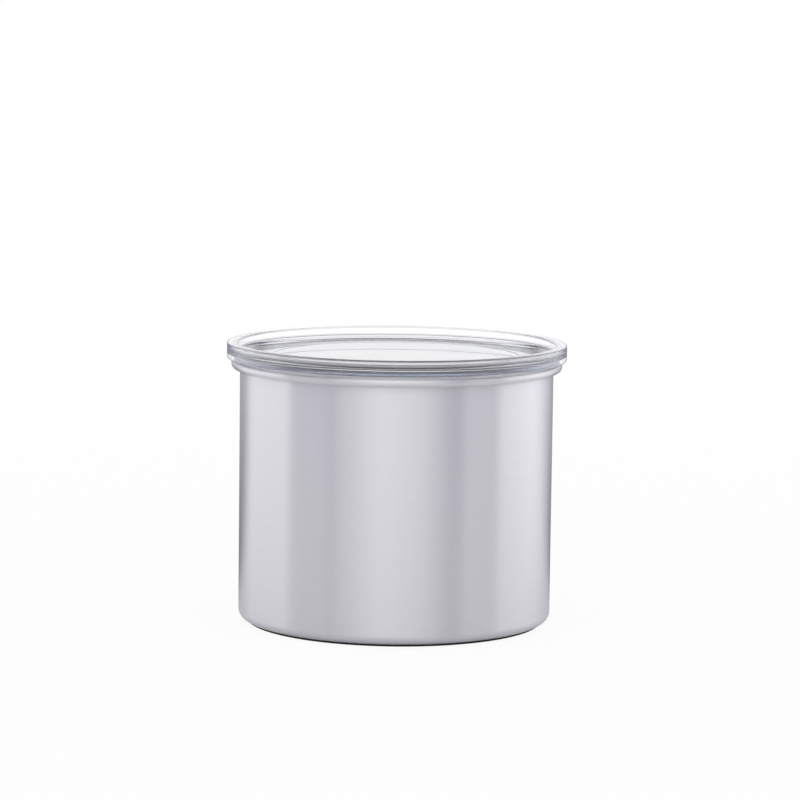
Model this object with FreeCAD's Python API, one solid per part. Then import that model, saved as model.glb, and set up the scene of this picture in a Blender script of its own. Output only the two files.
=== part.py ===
import FreeCAD
import Part
import math
import os

# Coffee canister with an inner lid that slides in it and carries a valve.
# Millimetres, +Z up. The origin is the middle of the foot, on the table. The front faces -Y.

Vector = FreeCAD.Vector

# Canister: a drawn steel cup with a rolled rim, on a rubber pad
wall_radius = 60.0          # outside of the straight wall
sheet = 0.6                 # thickness of the steel
corner_radius = 3.4         # outside of the bottom corner
rim_height = 101.05         # crest of the rolled rim above the table
curl_radius = 1.95          # outside of the rolled tube
curl_end_angle = 105.0      # where the sheet's edge stops, below the tube's outermost line
pad_thickness = 0.9
pad_edge = 0.3              # rounding of the pad's lower edge

# Outer lid: one clear moulding
lid_overhang = 1.7          # skirt's outside beyond the rolled rim
lid_height = 6.2            # crest above the lid's seat on the rim
lid_wall = 1.2
lip_wall = 1.6              # each side of the channel under the lip
channel_depth = 2.45        # from the lid's seat up into the lip
lip_inset = 0.95            # foot of the lip's inner face, inside the rim's crest line
lip_draft = 0.3             # how far that face leans out towards the crest
lip_foot = 3.4              # rounding where the lip rises from the panel
crest_rounding = 0.5
skirt_land = 0.4            # flat left on the skirt's lower edge
lid_seat_gap = 0.1          # between the lid and the crest of the rim
plug_depth = 6.0            # ring under the panel that enters the mouth
plug_gap = 0.3              # between that ring and the wall
panel_margin = 11.9         # from that ring to the raised middle of the panel
panel_step = 0.25

# Valve: head, stem and the cam's follower, with a silicone washer
vent_radius = 9.0           # hole that the valve closes
seat_width = 1.2
seat_rise = 0.8
seal_overlap = 1.2          # washer beyond its seat
seal_thickness = 1.6
seal_gap = 0.1              # between the washer and its seat, with the valve shut
head_rim = 0.4              # head beyond the washer
head_thickness = 2.0
boss_inset = 1.7            # boss under the head, inside the vent, which the washer fits round
boss_depth = 1.2
follower_margin = 1.3       # follower beyond the cam
follower_height = 2.3
stem_radius = 2.0
stem_tip = 2.0              # stem below the strainer, with the valve shut
run_gap = 0.05              # radial, for pieces that turn or slide in one another
fit_gap = 0.05              # between pieces that are pushed together

# Strainer pushed into the vent from below
strainer_depth = 6.0        # below the well's floor
strainer_wall = 1.25
strainer_base = 1.4
strainer_flange = 2.2       # beyond the vent, under the well's floor
strainer_flange_thickness = 1.4
guide_wall = 1.05           # boss that guides the stem
guide_height = 2.0
strainer_web = 0.9          # least web between two holes
strainer_hole_margin = 0.65 # from a hole to the spring and to the strainer's wall

# Spring round the stem, between the strainer and the valve
spring_gap = 0.4            # between the spring and the guide
spring_wire = 0.7
spring_turns = 4

# Handle: a folding bail on two pins, with a cam on its hub
valve_lift = 2.5            # how far the valve opens as the handle stands up
cam_reach = 6.5             # from the pivot to the follower, with the handle flat
cam_gap = 0.05
cam_width = 9.0
cam_nose = 35.0             # turn of the cam's outline beyond its lowest line, in degrees
hub_gap = 0.4               # between the hub and the open valve
ear_gap = 0.4               # between the hub's end and the ear
ear_thickness = 4.0
ear_radius = 5.0
ear_margin = 1.0            # from the well's wall to the ear
pin_radius = 1.5
pin_depth = 6.0             # how far a pin enters the hub
press_gap = 0.02            # radial, between a pin and its ear
handle_reach = 42.0         # from the pivot to the end of the grip
handle_spread = 4.9         # grip's end beyond the hub's end
handle_thickness = 4.6
arm_width = 6.0
grip_width = 8.0
neck_gap = 3.0              # straight stretch of the arms past the ears
neck_bend = 6.0
grip_corner = 12.0
opening_corner = 1.0        # corners of the bail's opening beside the hub
handle_edge = 1.2           # rounding of the bail's edges
handle_headroom = 1.8       # between the raised handle and the outer lid

# Inner lid: a dish that slides in the canister, with a sunken well for the valve
dish_gap = 5.1              # between the dish's wall and the canister's
dish_wall = 2.0
dish_floor = 2.4
dish_rise = 7.0             # wall's top above the floor
flange_width = 2.7          # beyond the dish's wall, over the gasket
flange_thickness = 1.6
well_gap = 2.7              # between the valve's head and the well's wall
well_wall = 2.0
well_depth = 8.0            # well's floor below the dish's floor
well_floor = 2.0

# Gasket with its two lips, and the ring that snaps on below it
gasket_body = 1.8
lip_thickness = 0.9
lip_rise = 1.2              # how far a lip's tip stands above its root
lip_tip = 0.5               # thickness at the tip
lip_margin = 1.1            # from each end of the gasket to the nearer lip
lip_gap = 0.3               # between the lips and the wall
retainer_thickness = 2.0
spigot_inset = 6.3          # ring that the retainer snaps over, inside the dish's wall
spigot_wall = 2.0
snap_bead = 0.5             # how far the bead stands out under the retainer
snap_drop = 1.15            # height of the bead and its lead-in

# Radii that follow from those
wall_inside = wall_radius - sheet
pad_radius = wall_radius - corner_radius
curl_centre = wall_inside + curl_radius
lid_radius = curl_centre + curl_radius + lid_overhang
dish_radius = wall_inside - dish_gap
flange_radius = dish_radius + flange_width
spigot_radius = dish_radius - spigot_inset
seat_radius = vent_radius + seat_width
seal_radius = seat_radius + seal_overlap
head_radius = seal_radius + head_rim
boss_radius = vent_radius - boss_inset
well_radius = head_radius + well_gap
follower_radius = cam_width / 2 + follower_margin
guide_radius = stem_radius + run_gap + guide_wall
spring_radius = guide_radius + spring_gap + spring_wire / 2
hub_radius = cam_reach - valve_lift - hub_gap

# Stations along the handle's pivot
ear_start = well_radius + well_wall + ear_margin
hub_end = ear_start - ear_gap
handle_side = hub_end + handle_spread

# Levels that follow from those, with the inner lid halfway down
lid_seat = rim_height + lid_seat_gap
head_rise = seat_rise + seal_gap + seal_thickness + head_thickness
pivot_rise = head_rise + follower_height + cam_gap + cam_reach - well_depth
pivot_level = lid_seat - handle_headroom - handle_reach
inner_level = pivot_level - pivot_rise
well_top = inner_level - well_depth
well_bottom = well_top - well_floor
seat_top = well_top + seat_rise
seal_bottom = seat_top + seal_gap
head_bottom = seal_bottom + seal_thickness
head_top = head_bottom + head_thickness
follower_top = head_top + follower_height
strainer_bottom = well_bottom - strainer_depth
strainer_top = strainer_bottom + strainer_base
retainer_top = inner_level - dish_floor


def rounded_loop(corners, place):
    """Closed wire through corners (u, v) or (u, v, rounding); place turns u, v into a point."""
    count = len(corners)
    flat = [Vector(corner[0], corner[1], 0) for corner in corners]
    stretches = []
    for i, corner in enumerate(corners):
        here = flat[i]
        rounding = corner[2] if len(corner) > 2 else 0
        if rounding == 0:
            stretches.append([here])
            continue
        back = (flat[i - 1] - here).normalize()
        ahead = (flat[(i + 1) % count] - here).normalize()
        half = back.getAngle(ahead) / 2
        middle = (back + ahead).normalize()
        reach = rounding / math.tan(half)
        sink = rounding / math.sin(half) - rounding
        stretches.append([here + back * reach, here + middle * sink, here + ahead * reach])
    edges = []
    for i, stretch in enumerate(stretches):
        points = [place(point.x, point.y) for point in stretch]
        if len(points) == 3:
            edges.append(Part.Arc(*points).toShape())
        following = stretches[(i + 1) % count][0]
        target = place(following.x, following.y)
        if points[-1].distanceToPoint(target) > 1e-6:
            edges.append(Part.LineSegment(points[-1], target).toShape())
    return Part.Wire(edges)


def on_section(radius, level):
    return Vector(radius, 0, level)


def turned(corners):
    """Solid of revolution about Z from a closed section of (radius, level) corners."""
    face = Part.Face(rounded_loop(corners, on_section))
    return face.revolve(Vector(0, 0, 0), Vector(0, 0, 1), 360)


def cylinder(radius, bottom, top, x=0.0, y=0.0):
    return Part.makeCylinder(radius, top - bottom, Vector(x, y, bottom))


def crosswise(radius, start, end, level):
    """Cylinder along X between two stations."""
    return Part.makeCylinder(radius, end - start, Vector(start, 0, level), Vector(1, 0, 0))


def canister_shell():
    centre = Vector(curl_centre, 0, rim_height - curl_radius)
    bend_inside = corner_radius - sheet
    foot = pad_thickness
    bend_level = foot + corner_radius

    def on_curl(radius, angle):
        turn = math.radians(angle)
        return centre + Vector(radius * math.cos(turn), 0, radius * math.sin(turn))

    def on_bend(radius, angle):
        turn = math.radians(angle)
        return Vector(pad_radius + radius * math.cos(turn), 0, bend_level + radius * math.sin(turn))

    def line(start, end):
        return Part.LineSegment(start, end).toShape()

    def arc(spot, radius, start, end):
        return Part.Arc(spot(radius, start), spot(radius, (start + end) / 2), spot(radius, end)).toShape()

    tube_inside = curl_radius - sheet
    edges = [
        line(Vector(0, 0, foot), on_bend(corner_radius, -90)),
        arc(on_bend, corner_radius, -90, 0),
        line(on_bend(corner_radius, 0), on_curl(tube_inside, 180)),
        arc(on_curl, tube_inside, 180, -curl_end_angle),
        line(on_curl(tube_inside, -curl_end_angle), on_curl(curl_radius, -curl_end_angle)),
        arc(on_curl, curl_radius, -curl_end_angle, 180),
        line(on_curl(curl_radius, 180), on_bend(bend_inside, 0)),
        arc(on_bend, bend_inside, 0, -90),
        line(on_bend(bend_inside, -90), Vector(0, 0, foot + sheet)),
        line(Vector(0, 0, foot + sheet), Vector(0, 0, foot)),
    ]
    face = Part.Face(Part.Wire(edges))
    return face.revolve(Vector(0, 0, 0), Vector(0, 0, 1), 360)


def base_pad():
    return turned([
        (0, 0),
        (pad_radius, 0, pad_edge),
        (pad_radius, pad_thickness),
        (0, pad_thickness),
    ])


def outer_lid():
    crest = lid_seat + lid_height
    channel_top = lid_seat + channel_depth
    panel_top = lid_seat + lid_wall
    lip_inside = curl_centre - lip_inset
    lip_crest = lip_inside + lip_draft
    channel_inside = lip_crest + lip_wall
    channel_outside = lid_radius - lip_wall
    plug_outside = wall_inside - plug_gap
    plug_inside = plug_outside - lid_wall
    plug_bottom = lid_seat - plug_depth
    skirt_rounding = lid_wall - skirt_land
    small_rounding = lid_wall / 3
    step_radius = plug_inside - panel_margin
    return turned([
        (0, lid_seat + panel_step),
        (step_radius, lid_seat + panel_step),
        (step_radius + panel_step, lid_seat),
        (plug_inside, lid_seat),
        (plug_inside, plug_bottom, small_rounding),
        (plug_outside, plug_bottom, small_rounding),
        (plug_outside, lid_seat),
        (channel_inside, lid_seat),
        (channel_inside, channel_top, small_rounding),
        (channel_outside, channel_top, small_rounding),
        (channel_outside, lid_seat),
        (lid_radius, lid_seat, skirt_rounding),
        (lid_radius, crest, crest_rounding),
        (lip_crest, crest, crest_rounding),
        (lip_inside, panel_top, lip_foot),
        (step_radius + panel_step, panel_top),
        (step_radius, panel_top + panel_step),
        (0, panel_top + panel_step),
    ])


def ears():
    shapes = []
    for side in (-1, 1):
        start = ear_start if side > 0 else -ear_start - ear_thickness
        bottom = inner_level - dish_floor / 2
        post = Part.makeBox(ear_thickness, 2 * ear_radius, pivot_level - bottom,
                            Vector(start, -ear_radius, bottom))
        crown = crosswise(ear_radius, start, start + ear_thickness, pivot_level)
        hole = crosswise(pin_radius + press_gap, start, start + ear_thickness, pivot_level)
        shapes.append(post.fuse(crown).cut(hole))
    return shapes


def inner_lid_plate():
    level = inner_level
    floor_bottom = level - dish_floor
    dish_inside = dish_radius - dish_wall
    flange_top = level + dish_rise
    snap_top = floor_bottom - retainer_thickness - fit_gap
    snap_bottom = snap_top - snap_drop
    dish = turned([
        (vent_radius, well_bottom),
        (well_radius + well_wall, well_bottom),
        (well_radius + well_wall, floor_bottom),
        (spigot_radius - spigot_wall, floor_bottom),
        (spigot_radius - spigot_wall, snap_bottom),
        (spigot_radius, snap_bottom),
        (spigot_radius + snap_bead, snap_top - snap_bead),
        (spigot_radius, snap_top),
        (spigot_radius, floor_bottom),
        (dish_radius, floor_bottom),
        (dish_radius, flange_top - flange_thickness),
        (flange_radius, flange_top - flange_thickness),
        (flange_radius, flange_top, flange_thickness / 2),
        (dish_inside, flange_top, flange_thickness / 2),
        (dish_inside, level, dish_wall),
        (well_radius, level, well_wall / 2),
        (well_radius, well_top),
        (seat_radius, well_top),
        (seat_radius, seat_top),
        (vent_radius, seat_top),
    ])
    return dish.fuse(ears()).removeSplitter()


def wiper_gasket():
    inside = dish_radius + fit_gap
    outside = inside + gasket_body
    tip = wall_inside - lip_gap
    bottom = retainer_top + fit_gap
    top = inner_level + dish_rise - flange_thickness - fit_gap
    corners = [(inside, bottom), (outside, bottom)]
    for root in (bottom + lip_margin, top - lip_margin - lip_thickness - lip_rise):
        corners += [
            (outside, root),
            (tip, root + lip_rise),
            (tip, root + lip_rise + lip_tip),
            (outside, root + lip_thickness),
        ]
    corners += [(outside, top), (inside, top)]
    return turned(corners)


def gasket_retainer():
    inside = spigot_radius + fit_gap
    edge = retainer_thickness / 3
    return turned([
        (inside, retainer_top - retainer_thickness),
        (flange_radius, retainer_top - retainer_thickness, edge),
        (flange_radius, retainer_top),
        (inside, retainer_top),
    ])


def valve_plunger():
    stem_bottom = strainer_bottom - stem_tip
    boss_bottom = head_bottom - boss_depth
    edge = stem_radius / 4
    return turned([
        (0, stem_bottom),
        (stem_radius, stem_bottom, edge),
        (stem_radius, boss_bottom),
        (boss_radius, boss_bottom),
        (boss_radius, head_bottom),
        (head_radius, head_bottom),
        (head_radius, head_top, head_thickness / 3),
        (follower_radius, head_top),
        (follower_radius, follower_top),
        (0, follower_top),
    ])


def valve_seal():
    inside = boss_radius + fit_gap
    ring = cylinder(seal_radius, seal_bottom, head_bottom)
    return ring.cut(cylinder(inside, seal_bottom, head_bottom))


def valve_strainer():
    outside = vent_radius - fit_gap
    inside = outside - strainer_wall
    flange_bottom = well_bottom - strainer_flange_thickness
    collar_top = well_bottom + well_floor / 2
    cup = turned([
        (stem_radius + run_gap, strainer_bottom),
        (outside, strainer_bottom),
        (outside, flange_bottom),
        (vent_radius + strainer_flange, flange_bottom),
        (vent_radius + strainer_flange, well_bottom),
        (outside, well_bottom),
        (outside, collar_top),
        (inside, collar_top),
        (inside, strainer_top),
        (guide_radius, strainer_top),
        (guide_radius, strainer_top + guide_height),
        (stem_radius + run_gap, strainer_top + guide_height),
    ])
    spring_outside = spring_radius + spring_wire / 2
    ring = (spring_outside + inside) / 2
    hole_radius = (inside - spring_outside) / 2 - strainer_hole_margin
    count = int(2 * math.pi * ring / (2 * hole_radius + strainer_web))
    for i in range(count):
        turn = 2 * math.pi * i / count
        hole = cylinder(hole_radius, strainer_bottom, strainer_top,
                        ring * math.cos(turn), ring * math.sin(turn))
        cup = cup.cut(hole)
    return cup


def tangent_arc(start, heading, end):
    """Arc that leaves start along heading and reaches end."""
    chord = end - start
    bend = heading.getAngle(chord)
    middle = (start + end) / 2
    corner = start + heading * (chord.Length / 2 / math.cos(bend))
    crown = middle + (corner - middle) * (math.tan(bend / 2) / math.tan(bend))
    return Part.Arc(start, crown, end).toShape()


def valve_spring():
    bottom = strainer_top + fit_gap + spring_wire / 2
    top = head_bottom - boss_depth - fit_gap - spring_wire / 2
    climb = (top - bottom) / (2 * math.pi * spring_turns)

    def point(turn):
        return Vector(spring_radius * math.cos(turn), spring_radius * math.sin(turn), bottom + climb * turn)

    def heading(turn):
        return Vector(-spring_radius * math.sin(turn), spring_radius * math.cos(turn), climb).normalize()

    edges = []
    quarters = 4 * spring_turns
    for i in range(quarters):
        first = math.pi / 2 * i
        last = math.pi / 2 * (i + 1)
        start, end = point(first), point(last)
        leave, arrive = heading(first), heading(last)
        span = end - start
        both = leave + arrive
        spread = 2 * (1 - leave.dot(arrive))
        reach = (-span.dot(both) + math.sqrt(span.dot(both) ** 2 + spread * span.dot(span))) / spread
        meet = (start + end + (leave - arrive) * reach) / 2
        turned_heading = (meet - start - leave * reach).normalize()
        edges.append(tangent_arc(start, leave, meet))
        edges.append(tangent_arc(meet, turned_heading, end))
    path = Part.Wire(edges)
    ring = Part.Wire(Part.makeCircle(spring_wire / 2, point(0), heading(0)))
    shell = Part.BRepOffsetAPI.MakePipeShell(path)
    shell.add(ring)
    shell.build()
    shell.makeSolid()

    steps = 48
    spots = [point(2 * math.pi * i / steps) for i in range(steps * spring_turns + 1)]
    apart = min(spots[i].distanceToPoint(spots[j])
                for i in range(len(spots)) for j in range(i + steps // 2, len(spots)))
    print("spring, least gap between its turns: %.2f mm" % (apart - spring_wire))
    return shell.shape()


def cam():
    """Cam under the hub. Its support falls evenly as the handle stands up, so the valve rises evenly."""
    fall = valve_lift / (math.pi / 2)
    nose = -math.radians(cam_nose)
    points = []
    steps = 10
    for i in range(steps + 1):
        turn = nose + (math.pi / 2 - nose) * i / steps
        support = cam_reach - fall * turn
        y = -support * math.sin(turn) + fall * math.cos(turn)
        z = -support * math.cos(turn) - fall * math.sin(turn)
        points.append(Vector(-cam_width / 2, y, pivot_level + z))
    flank = Part.BSplineCurve()
    flank.interpolate(points)
    heel = Vector(-cam_width / 2, hub_radius, pivot_level)
    edges = [
        flank.toShape(),
        Part.LineSegment(points[-1], heel).toShape(),
        Part.LineSegment(heel, points[0]).toShape(),
    ]
    return Part.Face(Part.Wire(edges)).extrude(Vector(cam_width, 0, 0))


def handle():
    neck = hub_end
    arm_neck = ear_radius + neck_gap
    opening_start = hub_radius + handle_edge
    opening_end = handle_reach - grip_width
    bottom = pivot_level - handle_thickness / 2

    def on_bail(x, y):
        return Vector(x, y, bottom)

    def mirrored(side):
        return side + [(-corner[0],) + tuple(corner[1:]) for corner in reversed(side)]

    outline = mirrored([
        (neck, 0),
        (neck, arm_neck, neck_bend),
        (handle_side, handle_reach, grip_corner),
    ])
    opening = mirrored([
        (neck - arm_width, opening_start, opening_corner),
        (neck - arm_width, arm_neck, neck_bend),
        (handle_side - arm_width, opening_end, grip_corner - arm_width),
    ])
    rise = Vector(0, 0, handle_thickness)
    bail = Part.Face(rounded_loop(outline, on_bail)).extrude(rise)
    bail = bail.cut(Part.Face(rounded_loop(opening, on_bail)).extrude(rise))
    rims = [edge for edge in bail.Edges
            if abs(edge.BoundBox.ZLength) < 1e-6 and edge.BoundBox.YMax > hub_radius]
    bail = bail.makeFillet(handle_edge, rims)
    hub = crosswise(hub_radius, -neck, neck, pivot_level)
    shape = bail.fuse([hub, cam()])
    for start, end in ((-neck, -neck + pin_depth + ear_gap), (neck - pin_depth - ear_gap, neck)):
        shape = shape.cut(crosswise(pin_radius + run_gap, start, end, pivot_level))
    return shape.removeSplitter()


def handle_pins():
    inner = hub_end - pin_depth
    outer = ear_start + ear_thickness
    return Part.makeCompound([
        crosswise(pin_radius, -outer, -inner, pivot_level),
        crosswise(pin_radius, inner, outer, pivot_level),
    ])


pieces = {
    "canister_shell": canister_shell(),
    "base_pad": base_pad(),
    "outer_lid": outer_lid(),
    "inner_lid_plate": inner_lid_plate(),
    "wiper_gasket": wiper_gasket(),
    "gasket_retainer": gasket_retainer(),
    "handle": handle(),
    "handle_pins": handle_pins(),
    "valve_plunger": valve_plunger(),
    "valve_seal": valve_seal(),
    "valve_spring": valve_spring(),
    "valve_strainer": valve_strainer(),
}

os.makedirs("parts", exist_ok=True)
for name, shape in pieces.items():
    shape.exportStep("parts/%s.step" % name)
    print(name, "solids", len(shape.Solids), "valid", shape.isValid(), "volume %.1f" % shape.Volume)
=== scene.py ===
import bpy
import bmesh
import math
from mathutils import Matrix, Vector


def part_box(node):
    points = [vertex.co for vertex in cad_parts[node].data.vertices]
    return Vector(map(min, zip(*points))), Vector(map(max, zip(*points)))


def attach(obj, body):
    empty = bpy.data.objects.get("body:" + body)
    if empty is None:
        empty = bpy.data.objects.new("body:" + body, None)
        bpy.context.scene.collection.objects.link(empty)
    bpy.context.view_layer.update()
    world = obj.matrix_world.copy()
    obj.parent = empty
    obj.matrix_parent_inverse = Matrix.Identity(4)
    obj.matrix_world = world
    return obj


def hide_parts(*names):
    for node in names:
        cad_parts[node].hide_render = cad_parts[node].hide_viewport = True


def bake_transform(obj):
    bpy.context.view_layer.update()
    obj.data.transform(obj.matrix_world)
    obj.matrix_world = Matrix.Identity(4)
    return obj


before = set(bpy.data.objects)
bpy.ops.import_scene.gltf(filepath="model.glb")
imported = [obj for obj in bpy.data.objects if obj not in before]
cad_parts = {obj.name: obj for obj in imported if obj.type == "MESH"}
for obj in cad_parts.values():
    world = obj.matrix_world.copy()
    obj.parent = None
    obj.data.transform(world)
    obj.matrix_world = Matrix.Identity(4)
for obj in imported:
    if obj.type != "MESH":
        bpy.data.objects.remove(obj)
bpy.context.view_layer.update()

mm = 0.001
xAxis = Vector((1, 0, 0))
zAxis = Vector((0, 0, 1))
print("frame loaded:", len(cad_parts), "nodes")


# shader helpers

class Sock:
    def __init__(self, tree, socket):
        self.tree = tree
        self.socket = socket

    def calc(self, operation, first, second):
        node = self.tree.nodes.new("ShaderNodeMath")
        node.operation = operation
        for slot, value in zip(node.inputs, (first, second)):
            if isinstance(value, Sock):
                self.tree.links.new(value.socket, slot)
            else:
                slot.default_value = value
        return Sock(self.tree, node.outputs[0])

    def __add__(self, other):
        return self.calc("ADD", self, other)

    def __radd__(self, other):
        return self.calc("ADD", other, self)

    def __rsub__(self, other):
        return self.calc("SUBTRACT", other, self)

    def __mul__(self, other):
        return self.calc("MULTIPLY", self, other)

    def __truediv__(self, other):
        return self.calc("DIVIDE", self, other)


class Shade:
    def __init__(self, owner):
        owner.use_nodes = True
        self.owner = owner
        self.tree = owner.node_tree
        self.tree.nodes.clear()

    def add(self, kind, setup=None, feed=None, out=0):
        node = self.tree.nodes.new(kind)
        for key, value in (setup or {}).items():
            if key == "stops":
                ramp = node.color_ramp
                for stop in value[2:]:
                    ramp.elements.new(stop[0])
                for element, (spot, colour) in zip(ramp.elements, sorted(value)):
                    element.position = spot
                    element.color = colour
            else:
                setattr(node, key, value)
        for key, value in (feed or {}).items():
            if isinstance(value, Sock):
                self.tree.links.new(value.socket, node.inputs[key])
            else:
                node.inputs[key].default_value = value
        return Sock(self.tree, node.outputs[out]) if node.outputs else None

    def objectCoords(self):
        return self.add("ShaderNodeTexCoord", out="Object")

    def stretched(self, scale):
        return self.add("ShaderNodeMapping", {}, {"Vector": self.objectCoords(), "Scale": scale})

    def noise(self, vector, scale, detail, rough=0.5):
        return self.add("ShaderNodeTexNoise", {}, {
            "Vector": vector, "Scale": scale, "Detail": detail, "Roughness": rough})

    def speckle(self, pattern):
        # a pattern is scale per metre, detail and, where it isn't a half, roughness
        return self.noise(self.objectCoords(), *pattern)

    def blendColour(self, factor, low, high):
        return self.add("ShaderNodeMix", {"data_type": "RGBA"}, {0: factor, 6: low, 7: high}, out=2)

    def bump(self, height, relief):
        # relief is strength, and depth in metres
        strength, depth = relief
        return self.add("ShaderNodeBump", {}, {"Height": height, "Strength": strength, "Distance": depth})

    def surface(self, feed, body=None):
        shader = self.add("ShaderNodeBsdfPrincipled", {}, feed)
        ends = {"Surface": shader, "Volume": body} if body else {"Surface": shader}
        self.add("ShaderNodeOutputMaterial", {}, ends)
        return self.owner


def newShade(name):
    return Shade(bpy.data.materials.new(name))


# finishes

def brushedSteel():
    look = {
        "bright": (0.815, 0.807, 0.853, 1),
        "dull": (0.745, 0.737, 0.785, 1),
        "rough": 0.33,
        "roughSwing": 0.10,
        "grain": (9, 9, 5200),     # per metre: long round the wall, fine up it
        "grainDetail": 2.0,
        "broad": (5, 5, 420),
        "broadDetail": 3.0,
        "grainShare": 0.65,
        "relief": (0.06, 0.00004),
    }
    sh = newShade("brushed_steel")
    grain = sh.noise(sh.stretched(look["grain"]), 1.0, look["grainDetail"])
    broad = sh.noise(sh.stretched(look["broad"]), 1.0, look["broadDetail"])
    streak = grain * look["grainShare"] + broad * (1 - look["grainShare"])
    return sh.surface({
        "Base Color": sh.blendColour(streak, look["dull"], look["bright"]),
        "Metallic": 1.0,
        "Roughness": look["rough"] - look["roughSwing"] / 2 + streak * look["roughSwing"],
        "Anisotropic": 1.0,
        "Anisotropic Rotation": 0.25,
        "Normal": sh.bump(grain, look["relief"]),
    })


def clearPlastic():
    look = {
        "tint": (0.97, 0.972, 0.987, 1),
        "haze": 0.01,
        "hazeSwing": 0.02,
        "smear": (60.0, 4.0, 0.6),
        "bend": 1.5,
        "soak": (0.15, 0.19, 0.38, 1),
        "soakDepth": 10.5,
    }
    sh = newShade("clear_plastic")
    smear = sh.speckle(look["smear"])
    soak = sh.add("ShaderNodeVolumeAbsorption", {}, {"Color": look["soak"], "Density": look["soakDepth"]})
    return sh.surface({
        "Base Color": look["tint"],
        "Roughness": look["haze"] + smear * look["hazeSwing"],
        "IOR": look["bend"],
        "Transmission Weight": 1.0,
    }, soak)


def darkMoulding(name, look):
    # a broad cloud in the colour and the gloss, and a fine grain in the surface
    sh = newShade(name)
    cloud = sh.speckle(look["cloud"])
    grain = sh.speckle(look["grain"])
    return sh.surface({
        "Base Color": sh.blendColour(cloud, look["deep"], look["worn"]),
        "Roughness": look["rough"] + cloud * look["roughSwing"],
        "Normal": sh.bump(grain, look["relief"]),
    })


rubberLook = {
    "deep": (0.008, 0.008, 0.011, 1),
    "worn": (0.02, 0.02, 0.026, 1),
    "cloud": (240.0, 5.0, 0.6),
    "grain": (4200.0, 2.0),
    "rough": 0.62,
    "roughSwing": 0.2,
    "relief": (0.25, 0.00008),
}
blackLook = {
    "deep": (0.022, 0.022, 0.025, 1),
    "worn": (0.042, 0.042, 0.047, 1),
    "cloud": (90.0, 4.0, 0.6),
    "grain": (2600.0, 2.0),
    "rough": 0.3,
    "roughSwing": 0.14,
    "relief": (0.13, 0.00006),
}
greyLook = {
    "deep": (0.10, 0.10, 0.105, 1),
    "worn": (0.15, 0.15, 0.155, 1),
    "cloud": (120.0, 4.0, 0.6),
    "grain": (3000.0, 2.0),
    "rough": 0.34,
    "roughSwing": 0.14,
    "relief": (0.15, 0.00005),
}


def milkySilicone():
    look = {
        "pale": (0.72, 0.73, 0.74, 1),
        "deep": (0.6, 0.61, 0.63, 1),
        "cloud": (70.0, 4.0, 0.6),
        "dust": (900.0, 4.0, 0.7),
        "rough": 0.42,
        "roughSwing": 0.2,
        "milk": 0.35,
        "milkReach": (0.004, 0.004, 0.004),
        "milkScale": 0.5,
        "relief": (0.08, 0.00005),
    }
    sh = newShade("milky_silicone")
    cloud = sh.speckle(look["cloud"])
    dust = sh.speckle(look["dust"])
    return sh.surface({
        "Base Color": sh.blendColour(cloud, look["deep"], look["pale"]),
        "Roughness": look["rough"] + dust * look["roughSwing"],
        "Subsurface Weight": look["milk"],
        "Subsurface Radius": look["milkReach"],
        "Subsurface Scale": look["milkScale"],
        "Normal": sh.bump(dust, look["relief"]),
    })


def drawnWire():
    look = {
        "bright": (0.72, 0.72, 0.74, 1),
        "dull": (0.5, 0.5, 0.52, 1),
        "draw": (1400.0, 3.0, 0.6),
        "rough": 0.2,
        "roughSwing": 0.14,
    }
    sh = newShade("drawn_wire")
    draw = sh.speckle(look["draw"])
    return sh.surface({
        "Base Color": sh.blendColour(draw, look["dull"], look["bright"]),
        "Metallic": 1.0,
        "Roughness": look["rough"] + draw * look["roughSwing"],
    })


finish = {
    "steel": brushedSteel(),
    "black_rubber": darkMoulding("black_rubber", rubberLook),
    "clear_plastic": clearPlastic(),
    "black_plastic": darkMoulding("black_plastic", blackLook),
    "grey_plastic": darkMoulding("grey_plastic", greyLook),
    "silicone": milkySilicone(),
    "pin_steel": drawnWire(),
}
print("finishes made:", len(finish))


# modelling helpers

weldGap = 0.01         # millimetres: nearer points become one
sliver = 0.005
rimAngle = 1.2         # radians: a sharper bend between two faces is a rim
tiny = 1e-6


def vertsOf(items):
    return [item for item in items if isinstance(item, bmesh.types.BMVert)]


def roundOff(bm, geom, radius, segments, affect="EDGES"):
    bmesh.ops.bevel(bm, geom=geom, offset=radius * mm, offset_type="OFFSET", segments=segments,
                    profile=0.5, affect=affect, material=-1)


def rimEdges(bm):
    return [edge for edge in bm.edges if edge.calc_face_angle(0) > rimAngle]


def thicken(bm, plate, shift):
    moved = vertsOf(bmesh.ops.extrude_face_region(bm, geom=plate)["geom"])
    bmesh.ops.translate(bm, verts=moved, vec=shift)
    bmesh.ops.recalc_face_normals(bm, faces=bm.faces[:])


def sectionLoop(bm, corners, lift=0.0):
    # closed outline in the XZ plane; corners are (across, up, rounding) in millimetres
    spots = [bm.verts.new((corner[0] * mm, 0, (corner[1] + lift) * mm)) for corner in corners]
    bm.faces.new(spots)
    for spot, corner in zip(spots, corners):
        if len(corner) > 2:
            segments = max(4, round(corner[2] * 5))        # five to the millimetre
            roundOff(bm, [spot], corner[2], segments, "VERTICES")
    bmesh.ops.delete(bm, geom=bm.faces[:], context="FACES_ONLY")
    evenRuns(bm)
    return bm.edges[:] + bm.verts[:]


def evenRuns(bm, limit=0.6, near=0.06):
    # a point close to each end of a straight run keeps it flat when it is shaded smooth
    for edge in bm.edges[:]:
        span = edge.calc_length()
        if span < limit * mm:
            continue
        for end in edge.verts[:]:
            if abs(end.co.x) > mm:
                run = [other for other in end.link_edges if other.calc_length() > 0.8 * span][0]
                bmesh.utils.edge_split(run, end, near * mm / span)


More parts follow.
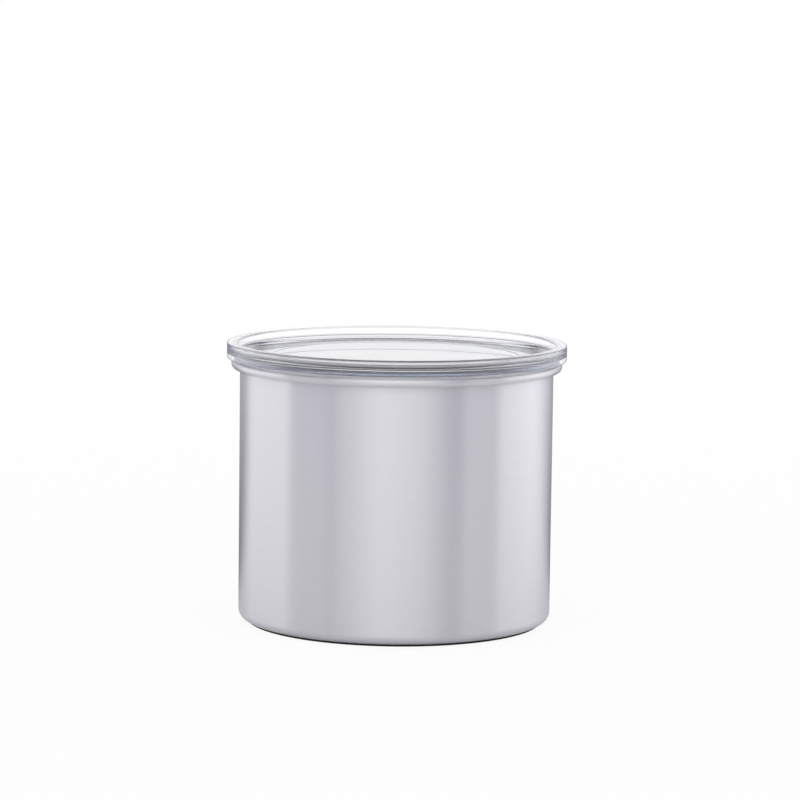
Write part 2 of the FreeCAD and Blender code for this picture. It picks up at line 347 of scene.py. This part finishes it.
def spinRound(bm, geom, steps, axis=zAxis, cent=(0, 0, 0)):
    bmesh.ops.spin(bm, geom=geom, cent=cent, axis=axis, angle=2 * math.pi, steps=steps, use_merge=True)
    bmesh.ops.remove_doubles(bm, verts=bm.verts[:], dist=weldGap * mm)
    bmesh.ops.recalc_face_normals(bm, faces=bm.faces[:])


def turnedPiece(name, corners, steps):
    bm = bmesh.new()
    spinRound(bm, sectionLoop(bm, corners), steps)
    return settle(name, bm)


def settle(name, bm, sharp=32):
    mesh = bpy.data.meshes.new(name)
    bm.to_mesh(mesh)
    bm.free()
    mesh.shade_smooth()
    mesh.set_sharp_from_angle(angle=math.radians(sharp))
    piece = bpy.data.objects.new(name, mesh)
    bpy.context.scene.collection.objects.link(piece)
    return piece


def fuse(name, forms):
    # one closed skin out of forms that run into each other
    base, *others = [settle("form", form) for form in forms]
    for other in others:
        join = base.modifiers.new("join", "BOOLEAN")
        join.operation = "UNION"
        join.solver = "MANIFOLD"
        join.object = other
    bm = bmesh.new()
    bm.from_object(base, bpy.context.evaluated_depsgraph_get())
    for form in (base, *others):
        bpy.data.meshes.remove(form.data)
    bmesh.ops.remove_doubles(bm, verts=bm.verts[:], dist=sliver * mm)
    bmesh.ops.dissolve_degenerate(bm, edges=bm.edges[:], dist=sliver * mm)
    return settle(name, bm)


def dress(piece, node, body, slot):
    piece.data.materials.append(finish[slot])
    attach(piece, body)
    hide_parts(node)


def place(node):
    low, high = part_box(node)
    return low / mm, high / mm


# canister

shellSize = {
    "sheet": 0.6,
    "corner": 3.4,
    "cornerSteps": 12,
    "curl": 1.95,
    "curlTurn": 285,     # degrees that the rim's sheet is rolled through
    "curlSteps": 40,
    "steps": 220,
}
padSize = {"foot": 0.3, "top": 0.1, "steps": 200}


def makeShell():
    low, high = place("canister_shell")
    sheet, curl, corner = shellSize["sheet"], shellSize["curl"], shellSize["corner"]
    wall = high.x - 2 * curl + sheet       # outside of the wall
    top = high.z - curl
    bm = bmesh.new()
    foot = bm.verts.new((0, 0, low.z * mm))
    bend = bm.verts.new(((wall - corner) * mm, 0, low.z * mm))
    bm.edges.new((foot, bend))
    for centre, turn, steps, rise in (
            (Vector((wall - corner, 0, low.z + corner)), -90, shellSize["cornerSteps"], top),
            (Vector((wall - sheet + curl, 0, top)), shellSize["curlTurn"], shellSize["curlSteps"], None)):
        arc = bmesh.ops.spin(bm, geom=[bend], cent=centre * mm, axis=(0, 1, 0), angle=math.radians(turn),
                             steps=steps)
        bend = vertsOf(arc["geom_last"])[0]
        if rise:
            crown = bm.verts.new((bend.co.x, 0, rise * mm))
            bm.edges.new((bend, crown))
            bend = crown
    evenRuns(bm)
    spinRound(bm, bm.edges[:] + bm.verts[:], shellSize["steps"])
    bmesh.ops.solidify(bm, geom=bm.faces[:], thickness=-sheet * mm)
    bmesh.ops.recalc_face_normals(bm, faces=bm.faces[:])
    dress(settle("steel_shell", bm), "canister_shell", "canister", "steel")


def makePad():
    low, high = place("base_pad")
    pad = turnedPiece("rubber_pad", [
        (0, low.z), (high.x, low.z, padSize["foot"]), (high.x, high.z, padSize["top"]), (0, high.z)],
        padSize["steps"])
    dress(pad, "base_pad", "canister", "black_rubber")


makeShell()
makePad()
print("canister made")


# outer lid

lidSize = {
    "wall": 1.2,
    "height": 6.2,       # crest over the seat on the rim
    "lip": 60.4,         # foot of the lip's inside, which leans out by the draft
    "draft": 0.3,
    "foot": 3.4,
    "crest": 0.5,
    "crestIn": 1.0,
    "skirt": 0.8,
    "lipWall": 1.6,      # each side of the channel under the lip
    "channel": 2.45,
    "plug": 59.1,
    "step": 46.0,        # the panel's middle stands higher, over a short ramp
    "rise": 0.25,
    "ramp": 1.4,
    "rampSoft": 0.6,
    "small": 0.4,
    "root": 0.3,
    "fine": 0.2,
    "hair": 0.1,
    "steps": 240,
}


def makeLid():
    low, high = place("outer_lid")
    size = lidSize
    wall, lip, plug, lipWall = size["wall"], size["lip"], size["plug"], size["lipWall"]
    step, rise, soft = size["step"], size["rise"], size["rampSoft"]
    small, fine = size["small"], size["fine"]
    ramp = step + size["ramp"]
    seat = high.z - size["height"]
    crown = lip + size["draft"]
    ceiling = seat + size["channel"]
    outside = high.x
    lid = turnedPiece("clear_lid", [
        (0, seat + rise), (step, seat + rise, soft), (ramp, seat, soft), (plug - wall, seat, size["root"]),
        (plug - wall, low.z, small), (plug, low.z, small), (plug, seat, fine),
        (crown + lipWall, seat, fine), (crown + lipWall, ceiling, small),
        (outside - lipWall, ceiling, small), (outside - lipWall, seat, size["hair"]),
        (outside, seat, size["skirt"]), (outside, high.z, size["crest"]),
        (crown, high.z, size["crestIn"]), (lip, seat + wall, size["foot"]),
        (ramp, seat + wall, soft), (step, seat + wall + rise, soft), (0, seat + wall + rise)], size["steps"])
    dress(lid, "outer_lid", "lid", "clear_plastic")


makeLid()
print("outer lid made")


# inner lid: dish with its valve well and ears, gasket and retainer

dishSize = {
    "wall": 2.0,
    "floor": 2.4,
    "rise": 7.0,
    "flange": 1.6,
    "flangeWidth": 2.7,
    "well": 14.5,
    "wellWall": 2.0,
    "wellDepth": 8.0,
    "wellFloor": 2.0,
    "vent": 9.0,
    "seat": 1.2,
    "seatRise": 0.8,
    "spigot": 48.0,      # the retainer snaps over it
    "spigotWall": 2.0,
    "snap": 2.05,
    "snapDrop": 1.15,
    "bead": 0.5,
    "steps": 180,
}
pivot = 57.35            # height of the handle's axis
earSize = {
    "inside": 17.5,
    "outside": 21.5,
    "radius": 5.0,
    "foot": 50.8,
    "hole": 1.52,
    "soft": 0.7,
    "steps": 48,
}
gasketSize = {
    "inside": 54.35,
    "outside": 56.15,
    "lips": (1.1, 4.5),  # heights of their roots over the foot
    "lipRise": 1.2,
    "lipTip": 0.5,
    "lipRoot": 0.9,
    "steps": 200,
}
retainerSize = {"inside": 48.05, "grip": 0.5, "foot": 0.67, "top": 0.2, "steps": 180}


def makeEar(side):
    # a ring of edges round the pin's hole, drawn out to the ear's outline and then made thick
    bm = bmesh.new()
    centre = Vector((side * earSize["inside"], 0, pivot)) * mm
    foot = (pivot - earSize["foot"]) * mm
    reach = earSize["radius"] * mm
    seed = bm.verts.new(centre + Vector((0, 0, earSize["hole"] * mm)))
    bmesh.ops.spin(bm, geom=[seed], cent=centre, axis=xAxis, angle=2 * math.pi, steps=earSize["steps"],
                   use_merge=True)
    wide = bmesh.ops.extrude_edge_only(bm, edges=bm.edges[:])["geom"]
    for spot in vertsOf(wide):
        ray = (spot.co - centre).normalized()
        stretch = reach
        if ray.z < 0:
            stretch = min(reach / max(abs(ray.y), tiny), foot / -ray.z)
        spot.co = centre + ray * stretch
    thicken(bm, bm.faces[:], (side * (earSize["outside"] - earSize["inside"]) * mm, 0, 0))
    outline = [edge for edge in rimEdges(bm) if (edge.verts[0].co - centre).yz.length > 0.9 * reach]
    roundOff(bm, outline, earSize["soft"], segments=3)
    return bm


def makeDish():
    low, high = place("inner_lid_plate")
    size = dishSize
    top = high.x                                 # flange's radius
    wall = top - size["flangeWidth"]
    inside = wall - size["wall"]
    bed = low.z + size["wellFloor"]
    level = bed + size["wellDepth"]
    under = level - size["floor"]
    brim = level + size["rise"]
    flange = brim - size["flange"]
    well, wellOut = size["well"], size["well"] + size["wellWall"]
    vent, seat, crest = size["vent"], size["vent"] + size["seat"], bed + size["seatRise"]
    spigot, spigotIn = size["spigot"], size["spigot"] - size["spigotWall"]
    snap = under - size["snap"]
    end = snap - size["snapDrop"]
    bm = bmesh.new()
    spinRound(bm, sectionLoop(bm, [
        (vent, low.z, 0.2), (wellOut, low.z, 0.6), (wellOut, under, 0.4),
        (spigotIn, under, 0.3), (spigotIn, end, 0.2), (spigot, end, 0.2),
        (spigot + size["bead"], snap - size["bead"], 0.15), (spigot, snap), (spigot, under, 0.2),
        (wall, under), (wall, flange, 0.1), (top, flange, 0.3), (top, brim, 0.8),
        (inside, brim, 0.8), (inside, level, 2.0), (well, level, 1.0), (well, bed, 0.6),
        (seat, bed, 0.3), (seat, crest, 0.25), (vent, crest, 0.25)]), size["steps"])
    dish = fuse("inner_dish", [bm] + [makeEar(side) for side in (-1, 1)])
    dress(dish, "inner_lid_plate", "inner_lid", "black_plastic")


def makeGasket():
    low, high = place("wiper_gasket")
    size = gasketSize
    inside, outside, tip = size["inside"], size["outside"], high.x
    lips = []
    for lip in size["lips"]:
        root = low.z + lip
        edge = root + size["lipRise"]
        lips += [(outside, root, 0.25), (tip, edge, 0.18), (tip, edge + size["lipTip"], 0.18),
                 (outside, root + size["lipRoot"], 0.4)]
    ring = turnedPiece("wiper_ring", [(inside, low.z), (outside, low.z, 0.3)] + lips + [
        (outside, high.z, 0.3), (inside, high.z)], size["steps"])
    dress(ring, "wiper_gasket", "inner_lid", "silicone")


def makeRetainer():
    low, high = place("gasket_retainer")
    size = retainerSize
    ring = turnedPiece("snap_ring", [
        (size["inside"], low.z, size["grip"]), (high.x, low.z, size["foot"]), (high.x, high.z, size["top"]),
        (size["inside"], high.z)], size["steps"])
    dress(ring, "gasket_retainer", "inner_lid", "black_plastic")


makeDish()
makeGasket()
makeRetainer()
print("inner lid made")


# handle: bail with its hub and cam, and the two pins

bailSize = {
    "thick": 4.6,
    "edge": 1.2,
    "hub": 3.6,
    "hubSoft": 0.5,
    "hubSteps": 48,
    "neck": 17.1,
    "arm": 6.0,
    "bend": 8.0,
    "spread": 4.9,
    "reach": 42.0,
    "grip": 8.0,
    "camReach": 6.5,
    "camLift": 2.5,
    "camWidth": 9.0,
    "camNose": 35.0,     # degrees past the resting point
    "camSoft": 0.25,
    "camSteps": 24,
}
pinSize = {"inside": 11.1, "radius": 1.5, "soft": (0.2, 0.25), "steps": 40}


def crossBar(start, end, radius, soft, steps):
    # a round bar on the handle's axis
    bm = bmesh.new()
    loop = sectionLoop(bm, [(start, 0), (start, radius, soft[0]), (end, radius, soft[1]), (end, 0)], pivot)
    spinRound(bm, loop, steps, xAxis, (0, 0, pivot * mm))
    return bm


def flatLoop(bm, side, level):
    # closed outline in a level plane, mirrored over Y; corners are (x, y, rounding)
    corners = side + [(-corner[0],) + tuple(corner[1:]) for corner in reversed(side)]
    before = set(bm.edges)
    spots = [bm.verts.new((corner[0] * mm, corner[1] * mm, level * mm)) for corner in corners]
    bm.faces.new(spots)
    for spot, corner in zip(spots, corners):
        roundOff(bm, [spot], corner[2], segments=8, affect="VERTICES")
    return [edge for edge in bm.edges if edge not in before]


def makeCam():
    # the cam's support falls evenly as the handle stands up
    fall = bailSize["camLift"] / (math.pi / 2)
    start = -math.radians(bailSize["camNose"])
    half = bailSize["camWidth"] / 2
    steps = bailSize["camSteps"]
    bm = bmesh.new()
    spots = []
    for step in range(steps + 1):
        turn = start + (math.pi / 2 - start) * step / steps
        support = bailSize["camReach"] - fall * turn
        y = -support * math.sin(turn) + fall * math.cos(turn)
        z = -support * math.cos(turn) - fall * math.sin(turn)
        spots.append(bm.verts.new((-half * mm, y * mm, (pivot + z) * mm)))
    spots.append(bm.verts.new((-half * mm, bailSize["hub"] * mm, pivot * mm)))
    face = bm.faces.new(spots)
    thicken(bm, [face], (2 * half * mm, 0, 0))
    roundOff(bm, rimEdges(bm), bailSize["camSoft"], segments=2)
    return bm


def makeHandle():
    size = bailSize
    base = pivot - size["thick"] / 2
    neck, side = size["neck"], size["neck"] + size["spread"]
    bm = bmesh.new()
    outer = flatLoop(bm, [(neck, 0.0, 0.4), (neck, size["bend"], 2.0), (side, size["reach"], 11.0)], base)
    opening = flatLoop(bm, [(neck - size["arm"], size["hub"] + size["edge"], 1.0),
                            (neck - size["arm"], size["bend"], 2.0),
                            (side - size["arm"], size["reach"] - size["grip"], 5.5)], base)
    bmesh.ops.delete(bm, geom=bm.faces[:], context="FACES_ONLY")
    plate = bmesh.ops.bridge_loops(bm, edges=outer + opening)["faces"]
    thicken(bm, plate, (0, 0, size["thick"] * mm))
    level = [edge for edge in rimEdges(bm) if abs(edge.verts[0].co.z - edge.verts[1].co.z) < tiny]
    roundOff(bm, level, size["edge"], segments=5)
    hub = crossBar(-neck, neck, size["hub"], (size["hubSoft"], size["hubSoft"]), size["hubSteps"])
    bail = fuse("bail_handle", [bm, hub, makeCam()])
    dress(bail, "handle", "bail", "black_plastic")


def makePins():
    end = place("handle_pins")[1].x
    bm = bmesh.new()
    for side in (-1, 1):
        pin = crossBar(side * pinSize["inside"], side * end, pinSize["radius"], pinSize["soft"],
                       pinSize["steps"])
        dowel = bpy.data.meshes.new("dowel")
        pin.to_mesh(dowel)
        pin.free()
        bm.from_mesh(dowel)
        bpy.data.meshes.remove(dowel)
    dress(settle("hinge_pins", bm), "handle_pins", "inner_lid", "pin_steel")


makeHandle()
makePins()
print("handle made")


# valve: plunger, washer, spring, and the strainer as it comes from the frame

valveSize = {
    "stem": 2.0,
    "boss": 7.3,
    "bossDepth": 1.2,
    "headRise": 2.0,
    "follower": 5.8,
    "followerRise": 2.3,
    "washer": 7.35,
    "steps": 120,
}
springSize = {"coil": 3.85, "wire": 0.7, "wireSides": 12, "turns": 4, "turnSteps": 36, "sharp": 60}


def makePlunger():
    low, high = place("valve_plunger")
    size = valveSize
    stem, boss, follower = size["stem"], size["boss"], size["follower"]
    head = high.z - size["followerRise"]
    under = head - size["headRise"]
    bossFoot = under - size["bossDepth"]
    plunger = turnedPiece("valve_head", [
        (0, low.z), (stem, low.z, 0.5), (stem, bossFoot, 0.4), (boss, bossFoot, 0.2), (boss, under, 0.1),
        (high.x, under, 0.3), (high.x, head, 0.67), (follower, head, 0.4), (follower, high.z, 0.3),
        (0, high.z)], size["steps"])
    dress(plunger, "valve_plunger", "valve", "grey_plastic")


def makeWasher():
    low, high = place("valve_seal")
    inside = valveSize["washer"]
    washer = turnedPiece("valve_washer", [
        (inside, low.z, 0.25), (high.x, low.z, 0.35), (high.x, high.z, 0.15), (inside, high.z, 0.15)],
        valveSize["steps"])
    dress(washer, "valve_seal", "valve", "silicone")


def makeSpring():
    low, high = place("valve_spring")
    size = springSize
    half = size["wire"] / 2
    climb = high.z - low.z - size["wire"]
    steps = size["turnSteps"] * size["turns"]
    bm = bmesh.new()
    seed = bmesh.ops.create_circle(bm, segments=size["wireSides"], radius=half * mm)["verts"]
    bmesh.ops.rotate(bm, verts=seed, cent=(0, 0, 0), matrix=Matrix.Rotation(math.pi / 2, 3, "X"))
    bmesh.ops.translate(bm, verts=seed, vec=(size["coil"] * mm, 0, (low.z + half) * mm))
    bmesh.ops.contextual_create(bm, geom=seed)
    bmesh.ops.spin(bm, geom=bm.faces[:], cent=(0, 0, 0), axis=zAxis, dvec=(0, 0, climb * mm / steps),
                   angle=2 * math.pi * size["turns"], steps=steps)
    bmesh.ops.recalc_face_normals(bm, faces=bm.faces[:])
    coil = settle("valve_coil", bm, size["sharp"])
    coil.data.materials.append(finish["pin_steel"])
    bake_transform(coil)
    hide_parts("valve_spring")


makePlunger()
makeWasher()
makeSpring()
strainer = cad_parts["valve_strainer"].data
strainer.materials.clear()
strainer.materials.append(finish["grey_plastic"])
print("valve made")


# studio

studio = {
    "floorSize": 8.0,
    "tentRadius": 0.45,
    "tentHeight": 1.0,
    "tentSteps": 180,
    # azimuth seen from the canister in degrees, 0 towards the camera, and how bright the tent is there
    "foot": [(-180, 0.3), (-140, 0.45), (-124, 1.1), (-82, 1.14), (-76, 0.67), (-49, 0.66), (-46, 0.57),
             (-43, 0.57), (-39, 0.74), (-30, 0.82), (-10, 1.15), (16, 0.95), (38, 0.47), (46, 0.47),
             (49, 0.74), (73, 0.67), (79, 1.08), (112, 1.3), (124, 1.1), (134, 0.8), (148, 0.45), (180, 0.2)],
    "low": [(-180, 1.22), (-124, 1.1), (-82, 1.14), (-76, 0.67), (-49, 0.66), (-46, 0.57), (-43, 0.57),
            (-39, 0.74), (-30, 0.82), (-10, 1.15), (16, 0.95), (38, 0.47), (46, 0.47), (49, 0.74), (73, 0.67),
            (79, 1.08), (112, 1.3), (124, 1.1), (180, 1.22)],
    "high": [(-180, 0.1), (-142, 0.1), (-125, 1.1), (-70, 1.1), (-55, 0.8), (-30, 1.3), (30, 1.3), (55, 0.8),
             (70, 1.1), (125, 1.1), (142, 0.1), (180, 0.1)],
    "skirting": (0.10, 0.15),      # heights in metres where one ring fades into the next
    "turnover": (0.27, 0.36),
    "clearTurn": (0.15, 0.22),
    "crown": (0.58, 1.0),          # and where the cloth goes over into the white sky
    # what the clear lid lets through of the tent
    "clearLow": [(-180, 1.32), (-150, 1.32), (-120, 1.0), (120, 1.0), (150, 1.32), (180, 1.32)],
    "clearHigh": [(-180, 0.02), (-140, 0.02), (-125, 1.1), (-70, 1.1), (-55, 0.4), (-30, 0.25), (30, 0.25),
                  (55, 0.4), (70, 1.1), (125, 1.1), (140, 0.02), (180, 0.02)],
    "cool": 0.1,                   # blue in the tent's greys
    "floorWhite": 0.91,
    "floorColour": (0.88, 0.88, 0.88, 1),
    "fade": (0.25, 1.2),           # the floor goes over into the white ground with distance, in metres
    # grey cards on the floor, which only the steel mirrors
    "floorRing": [(-180, 0.2), (-145, 0.2), (-120, 0.75), (122, 0.75), (148, 0.25), (180, 0.2)],
    "white": (1, 1, 1, 1),
    "bounces": 40,                 # light runs a long way round inside the clear lid
}
view = {
    "away": 1.3227,                # metres
    "up": 0.2473,
    "pitch": 6.99,                 # degrees
    "roll": 0.713,
    "yaw": 0.06,
    "lens": 156.4,                 # millimetres
    "sensor": 36,
    "near": 0.01,
}


def makeWorld():
    world = bpy.data.worlds.new("studio_white")
    bpy.context.scene.world = world
    sh = Shade(world)
    sky = sh.add("ShaderNodeBackground", {}, {"Color": studio["white"], "Strength": 1.0})
    sh.add("ShaderNodeOutputWorld", {}, {"Surface": sky})


def azimuthOf(sh, spot):
    # 0 to 1 round the canister, 0.5 towards the camera
    x, y = (sh.add("ShaderNodeSeparateXYZ", {}, {"Vector": spot}, out=name) for name in ("X", "Y"))
    return x.calc("ARCTAN2", x, 0 - y) / (2 * math.pi) + 0.5


def plainGrey(level):
    return (level, level, level, 1)


def coolGrey(level):
    shift = studio["cool"] * max(0.0, 1 - level)
    return (level * (1 - shift), level * (1 - shift), level * (1 + shift), 1)


def ringRamp(sh, azimuth, ring, colourOf):
    stops = [(angle / 360 + 0.5, colourOf(level)) for angle, level in ring]
    return sh.add("ShaderNodeValToRGB", {"stops": stops}, {"Fac": azimuth})


def makeFloor():
    bm = bmesh.new()
    bmesh.ops.create_grid(bm, x_segments=1, y_segments=1, size=studio["floorSize"] / 2)
    floor = settle("studio_floor", bm)
    sh = newShade("pale_floor")
    spot = sh.objectCoords()
    path = "ShaderNodeLightPath"
    direct = sh.add(path, out="Is Camera Ray") + sh.add(path, out="Is Transmission Ray")
    cards = ringRamp(sh, azimuthOf(sh, spot), studio["floorRing"], plainGrey)
    pale = sh.blendColour(sh.add(path, out="Is Glossy Ray"), studio["floorColour"], cards)
    away = sh.add("ShaderNodeVectorMath", {"operation": "LENGTH"}, {0: spot}, out="Value")
    far = sh.add("ShaderNodeMapRange", {"interpolation_type": "SMOOTHSTEP"}, {
        "Value": away, "From Min": studio["fade"][0], "From Max": studio["fade"][1],
        "To Min": studio["floorWhite"], "To Max": 1.0})
    matte = sh.add("ShaderNodeBsdfDiffuse", {}, {"Color": pale})
    white = sh.add("ShaderNodeEmission", {}, {"Color": studio["white"], "Strength": 1.0})
    both = sh.add("ShaderNodeMixShader", {}, {0: direct * far, 1: matte, 2: white})
    sh.add("ShaderNodeOutputMaterial", {}, {"Surface": both})
    floor.data.materials.append(sh.owner)


def makeTent():
    radius, height = studio["tentRadius"], studio["tentHeight"]
    bm = bmesh.new()
    foot = bm.verts.new((0, radius, 0))
    head = bm.verts.new((0, radius, height))
    edge = bm.edges.new((foot, head))
    spinRound(bm, [foot, head, edge], studio["tentSteps"])
    tent = settle("studio_tent", bm)
    sh = newShade("tent_cloth")
    spot = sh.objectCoords()
    z = sh.add("ShaderNodeSeparateXYZ", {}, {"Vector": spot}, out="Z")
    azimuth = azimuthOf(sh, spot)
    rings = {}
    for name in ("foot", "low", "high", "clearLow", "clearHigh"):
        rings[name] = ringRamp(sh, azimuth, studio[name], coolGrey)
    rise = {}
    for name in ("skirting", "turnover", "clearTurn", "crown"):
        rise[name] = sh.add("ShaderNodeMapRange", {"interpolation_type": "SMOOTHSTEP"}, {
            "Value": z, "From Min": studio[name][0], "From Max": studio[name][1]})
    mirrored = sh.blendColour(rise["skirting"], rings["foot"], rings["low"])
    mirrored = sh.blendColour(rise["turnover"], mirrored, rings["high"])
    clear = sh.blendColour(rise["clearTurn"], rings["clearLow"], rings["clearHigh"])
    through = sh.add("ShaderNodeLightPath", out="Is Transmission Ray")
    level = sh.blendColour(rise["crown"], sh.blendColour(through, mirrored, clear), studio["white"])
    glow = sh.add("ShaderNodeEmission", {}, {"Color": level, "Strength": 1.0})
    sh.add("ShaderNodeOutputMaterial", {}, {"Surface": glow})
    tent.data.materials.append(sh.owner)
    tent.visible_camera = False
    tent.visible_diffuse = False
    tent.visible_shadow = False


def makeCamera():
    pitch, roll, yaw = (math.radians(view[key]) for key in ("pitch", "roll", "yaw"))
    ahead = Vector((math.sin(yaw) * math.cos(pitch), math.cos(yaw) * math.cos(pitch), -math.sin(pitch)))
    right = Vector((math.cos(yaw), -math.sin(yaw), 0))
    over = right.cross(ahead)
    side = right * math.cos(roll) + over * math.sin(roll)
    crown = over * math.cos(roll) - right * math.sin(roll)
    data = bpy.data.cameras.new("studio_camera")
    data.lens = view["lens"]
    data.sensor_width = view["sensor"]
    data.clip_start = view["near"]
    camera = bpy.data.objects.new("studio_camera", data)
    bpy.context.scene.collection.objects.link(camera)
    turn = Matrix((side, crown, -ahead)).transposed().to_4x4()
    camera.matrix_world = Matrix.Translation((0, -view["away"], view["up"])) @ turn
    bpy.context.scene.camera = camera


makeWorld()
makeFloor()
makeTent()
makeCamera()
bpy.context.scene.view_settings.view_transform = "Standard"
for kind in ("max_bounces", "transmission_bounces", "glossy_bounces"):
    setattr(bpy.context.scene.cycles, kind, studio["bounces"])
print("studio made")
